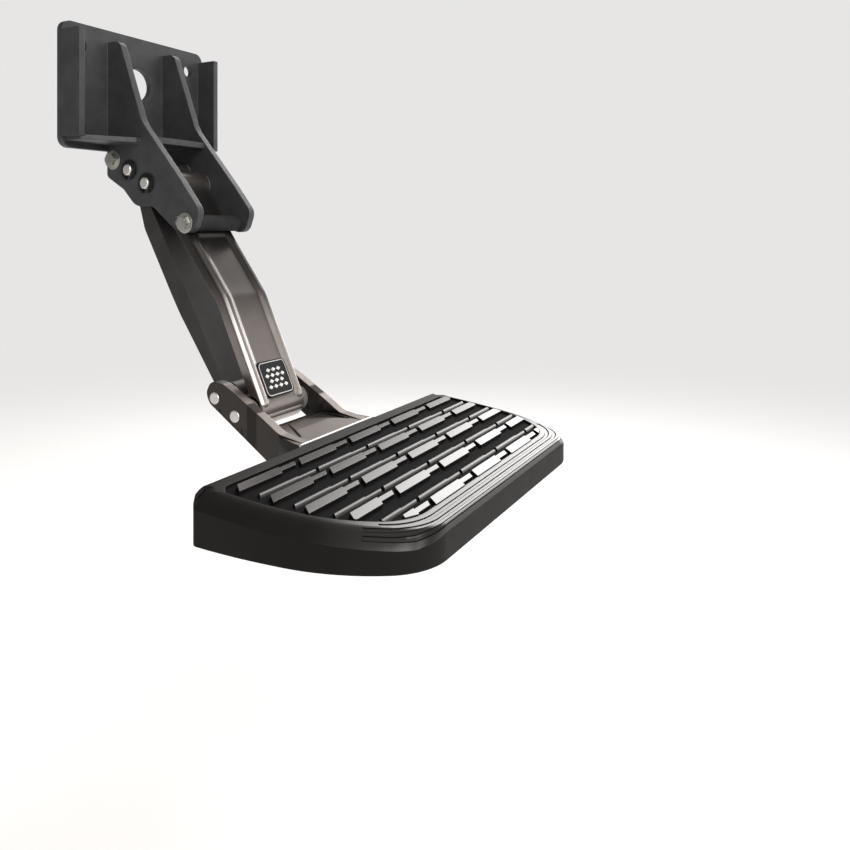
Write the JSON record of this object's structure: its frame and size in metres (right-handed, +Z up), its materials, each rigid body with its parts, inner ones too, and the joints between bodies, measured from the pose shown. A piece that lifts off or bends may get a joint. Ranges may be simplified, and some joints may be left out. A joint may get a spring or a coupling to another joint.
{
  "type": "fold-out step",
  "caption": "Fold-out truck bed-side step: moulded tread deck on a cast carrier, held by parallel swing arms from a bolt-on frame bracket.",
  "frame": {"origin": "centre of the bracket's bolt pattern, on the flat face that lies against the truck's frame rail", "axes": "+X truck forward along the rail, +Y inboard into the rail, +Z up; drawn folded out"},
  "size_m": [0.311, 0.3527, 0.3446],
  "materials": {
    "bracket_steel": "black powder coat",
    "zinc_steel": "zinc plated",
    "pin_steel": "ground steel",
    "cast_alloy": "as-cast, lightly brushed",
    "dark_alloy": "black coated casting",
    "deck_plastic": "satin moulded black",
    "bush_plastic": "filled nylon",
    "stop_rubber": "moulded",
    "spring_steel": "oiled spring steel",
    "badge_plate": "satin plate with dark border",
    "brass_insert": "knurled brass",
    "black_oxide": "black oxide"
  },
  "bodies": {
    "bracket": {"mount_bracket": "bracket_steel", "stop_bolts": "zinc_steel", "stop_nuts": "zinc_steel", "deploy_stop_sleeve": "stop_rubber", "stow_stop_sleeve": "stop_rubber", "upper_outer_pin": "pin_steel", "upper_inner_pin": "pin_steel", "pin_clips": "spring_steel", "upper_thrust_washers": "bush_plastic", "return_spring": "spring_steel"},
    "outer_arm": {"outer_arm": "cast_alloy", "outer_arm_upper_bushes": "bush_plastic", "outer_arm_lower_bushes": "bush_plastic", "badge": "badge_plate"},
    "inner_arm": {"inner_arm": "dark_alloy", "inner_arm_upper_bushes": "bush_plastic", "inner_arm_lower_bushes": "bush_plastic"},
    "step_carrier": {"step_casting": "cast_alloy", "lower_outer_pin": "pin_steel", "lower_inner_pin": "pin_steel", "lower_spacers": "bush_plastic", "pin_lock_screws": "black_oxide", "deck": "deck_plastic", "deck_inserts": "brass_insert", "deck_screws": "zinc_steel"}
  },
  "joints": [
    {"name": "outer_arm_fold", "type": "hinge", "parent": "bracket", "child": "outer_arm", "pos_m": [0, -0.0515, -0.07779], "axis": [1, 0, 0], "range_deg": [0, 100]},
    {"name": "inner_arm_fold", "type": "hinge", "parent": "bracket", "child": "inner_arm", "pos_m": [0, -0.032, -0.06649], "axis": [1, 0, 0], "range_deg": [0, 100], "deforming": ["return_spring"]},
    {"name": "step_level", "type": "hinge", "parent": "outer_arm", "child": "step_carrier", "pos_m": [0, -0.1515, -0.251], "axis": [1, 0, 0], "range_deg": [-100, 0]}
  ],
  "couplings": [
    {"joint": "inner_arm_fold", "follows": "outer_arm_fold", "ratio": 1},
    {"joint": "step_level", "follows": "outer_arm_fold", "ratio": -1}
  ]
}
